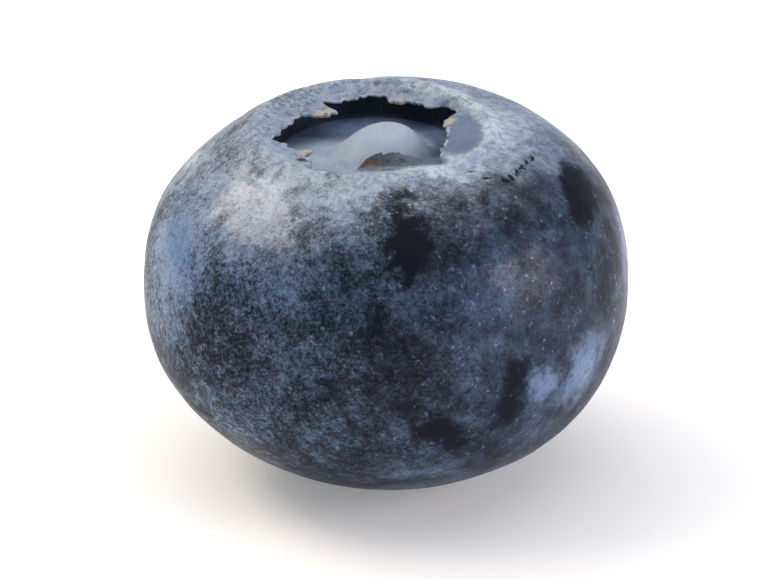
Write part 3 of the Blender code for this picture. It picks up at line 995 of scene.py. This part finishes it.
# %% Painted highlights on the ridge, and painted light on the floor
RIDGE_HIGHLIGHT_STRENGTH = 0.9
RIDGE_HIGHLIGHT_SOFTNESS = 0.5
LIT_FLOOR_STRENGTH = 0.24
RIDGE_HIGHLIGHTS = (
    # middle and half sizes of painted highlights: the front lobe's ridge, and the web to its right
    ((1.2, -3.6, 12.9), (1.5, 0.34, 0.5)),
    ((2.4, -2.2, 12.9), (0.9, 0.45, 0.6)),
)
for middle, size in RIDGE_HIGHLIGHTS:
    pale = larger(pale, times(mask_at(ragged, middle, size, RIDGE_HIGHLIGHT_SOFTNESS), RIDGE_HIGHLIGHT_STRENGTH))
pale = larger(pale, times(times(lit_floor, floor_value), LIT_FLOOR_STRENGTH))
count_nodes()

# %% [markdown]
# The wax has its own colours. It is blue where it is thin and grey on the crown, with warm lilac
# clouds through both. Over that go the pale places: pale wax on the collar, painted highlights on
# the rim, the ridge and the web, and painted light on the basin's floor.

# %% Colours of the wax
WARM_STRENGTH = 0.45
# the floor's painted shadow also loses the crown's grey
CROWN_OFF_FLOOR = 0.8  # the thin part of the basin's floor has this much less grey

crown_wax = times(crown, rest_of(times(shadowed_floor, CROWN_OFF_FLOOR)))
wax = blend(crown_wax, BLOOM_BLUE, BLOOM_GREY)
aside = add("VectorMath", place, (40, 0, 0), operation="ADD")
warm = fade(noise(aside, 0.45, 3.0, 0.7), 0.35, 0.65)
warm_wax = blend(crown_wax, BLOOM_LILAC, BLOOM_PINK)
wax = blend(times(warm, WARM_STRENGTH), wax, warm_wax)
# the pale wax, the painted highlights and the painted light go in here
wax = blend(pale, wax, EDGE_PALE)
count_nodes()

# %% [markdown]
# Blotches of shade, grey dust near the ground on the left and tiny dark pits keep the wax from
# looking like paint. The basin's floor and the gleaming shoulder get less of them.

# %% Blotches, dust and pits
BLOTCH_STRENGTH = 0.42
BLOTCH_LESS_ON_FLOOR = 0.36
BLOTCH_LESS_ON_SHOULDER = 0.6
DUSTY_FOOT = ((-4.9, -5.2, 3.0), (2.0, 1.6, 0.8), 0.4)  # middle, half sizes and softness
DUST_STRENGTH = 0.7
PIT_DEPTH = 0.38

aside = add("VectorMath", place, (0, 30, 0), operation="ADD")
blotch = fade(noise(aside, 0.3, 1.0), 0.4, 0.66)
blotch = times(blotch, minus(BLOTCH_STRENGTH, times(floor_value, BLOTCH_LESS_ON_FLOOR)))
blotch = times(blotch, rest_of(times(even, BLOTCH_LESS_ON_SHOULDER)))
wax = blend(blotch, wax, BLOOM_SHADE)
wax = blend(times(mask_at(ragged, *DUSTY_FOOT), DUST_STRENGTH), wax, DUST)
unpitted = fade(noise(place, 0.2, 3.0, 0.75), 0.3, 0.52)
unpitted = rest_of(times(rest_of(unpitted), PIT_DEPTH))
wax = blend(larger(unpitted, floor_value), BARE, wax)
count_nodes()

# %% [markdown]
# Now the wax goes over the bare skin, which has a few purple patches, and the basin's wall gets
# a dull blue as painted shade under the lip.

# %% Wax over bare skin, and painted shade on the wall
WALL_SHADE_STRENGTH = 0.8
bare = blend(fade(noise(place, 4.0), 0.4, 0.7), BARE, BARE_PURPLE)
colour = blend(bloom, bare, wax)
colour = blend(times(inside_value, WALL_SHADE_STRENGTH), colour, WALL_SHADE_BLUE)
count_nodes()

# %% [markdown]
# The lobes dry before the berry is ripe. Their tips turn to thin tan paper, and a few specks rust.
# Reach is 1 at a lobe's edge, so a dry zone is where reach is high, and each spot lets it come
# further in. A thin painted highlight also runs along the whole edge.

# %% Masks of the dry calyx and of the edge's painted highlight
# bearing, radius and size of each spot
TIPS = ((23, 2.85, 0.36), (138, 2.42, 0.34), (130, 2.6, 0.26), (72, 2.95, 0.26), (-148, 2.8, 0.34))
RUST = ((-96, 2.85, 0.36), (-117, 3.8, 0.24), (-122, 3.7, 0.16), (-138, 3.4, 0.2))
TIP_HALF_HEIGHT = 1.5
TIP_SOFTNESS = 0.4
# the wander moves the painted highlight along the lobes' edge, and the crescent's border too
WANDER = 0.35  # how far the dry edge wanders, as a share of the lobe


def join_spots(spots):
    """One mask from several round spots on the calyx."""
    total = 0.0
    for bearing, radius, size in spots:
        round_size = (size, size, TIP_HALF_HEIGHT)
        total = larger(total, mask_at(fine_ragged, by_ring(bearing, radius), round_size, TIP_SOFTNESS))
    return total


tips = join_spots(TIPS)
rust = join_spots(RUST)
on_lobe = fade(reach_value, 0.3, 0.6)
edge_wander = times(minus(noise(place, 0.3, 3.0), 0.5), WANDER)
wandering_reach = plus(reach_value, edge_wander)
# painted highlight: a pale line along the lobes' edge
edge_highlight = fade(wandering_reach, 0.97, 1.03)
count_nodes()

# %% [markdown]
# The front lobe has a dark crescent along its edge, thickest in its middle, and the right lobe is
# hollow like a spoon, with the flower's purple still in it.

# %% Crescent and spoon
CRESCENT = ((0.35, -2.3, 12.9), (1.85, 0.95, 2.0), 0.16)  # middle, half sizes and softness
THICK_END = ((-0.15, -3.15, 13.0), (0.95, 0.5, 1.0), 0.4)
THICK_END_STRENGTH = 0.75
SPOON_STRENGTH = 0.75
INNER_PURPLE = (0.105, 0.15, 0.25, 1)

dry_crescent = times(mask_at(fine_ragged, *CRESCENT), fade(wandering_reach, 0.3, 0.5))
thick_end = times(mask_at(fine_ragged, *THICK_END), THICK_END_STRENGTH)
dry_crescent = larger(dry_crescent, thick_end)
spoon = times(mask_at(fine_ragged, by_ring(-6, 3.2), (0.8, 1.75, 2.0), 0.12), SPOON_STRENGTH)
colour = blend(spoon, colour, INNER_PURPLE)
count_nodes()

# %% [markdown]
# First the lobes' edge gets its pale painted highlight. A mottle of brown runs through all that is
# dry. The crescent's crust is grey on the left and dull blue on the right, the tips are tan, and the
# rust goes over them.

# %% Colours of the dry calyx, and the edge's painted highlight
DRY_TAN = (0.34, 0.33, 0.32, 1)
DRY_RED = (0.07, 0.036, 0.03, 1)
DRY_BROWN = (0.007, 0.0068, 0.0055, 1)
DRY_GREY = (0.045, 0.058, 0.071, 1)
DULL_BLUE = (0.082, 0.114, 0.152, 1)
EDGE_STRENGTH = 0.6
CRUST_MOTTLE = 0.65
TIP_MOTTLE = 0.75

# painted highlight along the lobes' edge
colour = blend(times(edge_highlight, EDGE_STRENGTH), colour, EDGE_PALE)
mottle = fade(noise(place, 0.35, 3.0, 0.6), 0.5, 0.66)
dull = blend(fade(parts_of(place)["X"], -0.2, 0.9), DRY_GREY, DULL_BLUE)
crust = blend(times(mottle, CRUST_MOTTLE), dull, DRY_BROWN)
colour = blend(dry_crescent, colour, crust)
tan = blend(times(mottle, TIP_MOTTLE), DRY_TAN, DRY_BROWN)
colour = blend(times(tips, on_lobe), colour, tan)
colour = blend(times(rust, on_lobe), colour, DRY_RED)
count_nodes()

# %% [markdown]
# The stem scar is cork, torn where the stalk let go: a dark brown wall, and an orange brown floor
# with pale flecks. One coarse noise, cut at two levels, gives both.

# %% Stem scar colours
CORK_DARK = (0.03, 0.012, 0.007, 1)
CORK_ORANGE = (0.31, 0.12, 0.035, 1)
CORK_PALE = (0.52, 0.33, 0.16, 1)
DEEP_FADE = (0.45, 0.8)  # the floor's colours come in between these heights, in millimetres

fibres = noise(fine_ragged, 0.22, 4.0, 0.7)
cork = blend(fade(fibres, 0.38, 0.55), CORK_DARK, CORK_ORANGE)
cork = blend(fade(fibres, 0.58, 0.7), cork, CORK_PALE)
cork = blend(fade(parts_of(place)["Z"], *DEEP_FADE), CORK_DARK, cork)
colour = blend(fade(scar_value, 0.3, 0.8), colour, cork)
plug(shader.inputs["Base Color"], colour)
count_nodes()

# %% [markdown]
# Wax scatters light, and its plates throw a faint gleam. A rough coat does that here. It sparkles
# where there is bloom, but not in the dry crescent, nor much on the crown.

# %% Gleam
COAT_WEIGHTS = (0.025, 0.9)  # on bare skin and on full bloom
MATT_CROWN = ((-0.2, 2.2, 12.7), (6.6, 6.7, 4.5), 0.08)  # middle, half sizes and softness
MATT_BY = 0.8

for name, value in (("Specular IOR Level", 0.05), ("Sheen Weight", 0.05), ("Sheen Roughness", 0.35),
                    ("Sheen Tint", (0.7, 0.82, 1.0, 1)), ("Coat Roughness", 0.17), ("Coat IOR", 1.5)):
    plug(shader.inputs[name], value)
sparkle = times(bloom, fade(noise(place, 0.14, 2.0, 0.7), 0.15, 0.6))
sparkle = times(sparkle, rest_of(dry_crescent))
sparkle = times(sparkle, rest_of(times(mask_at(place, *MATT_CROWN), MATT_BY)))
plug(shader.inputs["Coat Weight"], slide(sparkle, *COAT_WEIGHTS))
count_nodes()

# %% [markdown]
# Bare skin is a little smoother than waxed skin. The grain group goes in as bump, and the material
# goes on the berry.

# %% Roughness and relief
ROUGHNESS = (0.42, 0.7)  # on bare skin and on full bloom
RELIEF = 0.04 * MM

plug(shader.inputs["Roughness"], slide(bloom, *ROUGHNESS))
bump = tree.nodes.new("ShaderNodeBump")
bump.inputs["Strength"].default_value = 0.35
bump.inputs["Distance"].default_value = RELIEF
plug(bump.inputs["Height"], use(skin_grain, place=place)["Height"])
plug(shader.inputs["Normal"], bump.outputs["Normal"])
berry.data.materials.clear()
berry.data.materials.append(skin)
count_nodes()

# %% [markdown]
# The berry stands on a sheet of white paper, lit a little from below so that its shadows stay
# pale. It is much larger than the berry, so its edge stays out of view.

# %% Floor
bpy.ops.object.select_all(action="DESELECT")
bpy.ops.mesh.primitive_plane_add(size=3, location=(0, 0, 0))
floor = bpy.context.object
floor.name = "floor"
paper = bpy.data.materials.new("paper")
paper.use_nodes = True
for name, value in (("Base Color", (0.88, 0.88, 0.88, 1)), ("Roughness", 0.9),
                    ("Emission Color", (1, 1, 1, 1)), ("Emission Strength", 0.22)):
    plug(paper.node_tree.nodes["Principled BSDF"].inputs[name], value)
floor.data.materials.append(paper)
print("floor in m:", floor.dimensions[:])

# %% [markdown]
# The key light is a narrow softbox on the left and a little behind, turned about its own axis,
# which puts the slanted pale gleam on the left shoulder. A broad, dimmer panel behind it softens
# the gleam's border. A wide panel overhead lights the crown and the paper, and a weak card on the
# right makes the second, purple grey gleam.

# %% Lights


def soft_light(name, direction, distance, size, power, colour, spin=0):
    """An area light of this width and height that faces the berry from this direction. Spin turns
    it about its own axis, in degrees."""
    bpy.ops.object.select_all(action="DESELECT")
    bpy.ops.object.light_add(type="AREA")
    light = bpy.context.object
    light.name = name
    light.data.shape = "RECTANGLE"
    light.data.size, light.data.size_y = size
    light.data.energy = power
    light.data.color = colour
    direction = np.array(direction) / np.linalg.norm(direction)
    light.location = np.array([0, 0, WIDEST]) + distance * direction
    facing = Euler((math.acos(direction[2]), 0, math.atan2(direction[1], direction[0]) + math.pi / 2))
    light.rotation_euler = (facing.to_matrix() @ Matrix.Rotation(math.radians(spin), 3, "Z")).to_euler()
    print(name, "at", [round(part, 2) for part in light.location])


soft_light("key", (-0.65, 0.27, 0.71), 0.5, (0.46, 0.16), 1.2, (1.0, 0.84, 0.67), spin=34)
soft_light("key halo", (-0.6, 0.33, 0.73), 0.6, (0.8, 0.7), 1.6, (1.0, 0.92, 0.84))
soft_light("top", (0.1, 0.25, 0.95), 0.8, (1.2, 1.2), 4.0, (0.97, 0.98, 1.0))
soft_light("card", (0.94, -0.22, 0.27), 0.35, (0.15, 0.19), 0.64, (1.0, 0.88, 0.94))
world = bpy.data.worlds.new("studio")
world.use_nodes = True
for name, value in (("Color", (0.93, 0.96, 1.0, 1)), ("Strength", 0.38)):
    plug(world.node_tree.nodes["Background"].inputs[name], value)
bpy.context.scene.world = world
bpy.context.scene.view_settings.view_transform = "Standard"

# %% [markdown]
# The photograph looks down by about 25 degrees, through a long lens. The camera does the same,
# and comes close enough for one berry to fill the frame.

# %% Camera
VIEW_ELEVATION = math.radians(25.5)
VIEW_DISTANCE = 0.45
VIEW_WIDTH = 28.0 * MM  # what the frame takes in at the berry
AIM_HEIGHT = 6.6 * MM
SENSOR = 36  # millimetres, as the lens's length is

bpy.ops.object.camera_add()
camera = bpy.context.object
camera.data.sensor_width = SENSOR
camera.data.lens = SENSOR * VIEW_DISTANCE / VIEW_WIDTH
camera.data.clip_start = 0.01
back_off = np.array([0, -math.cos(VIEW_ELEVATION), math.sin(VIEW_ELEVATION)])
camera.location = np.array([0, 0, AIM_HEIGHT]) + VIEW_DISTANCE * back_off
camera.rotation_euler = (math.pi / 2 - VIEW_ELEVATION, 0, 0)
bpy.context.scene.camera = camera
print("lens in mm:", round(camera.data.lens))
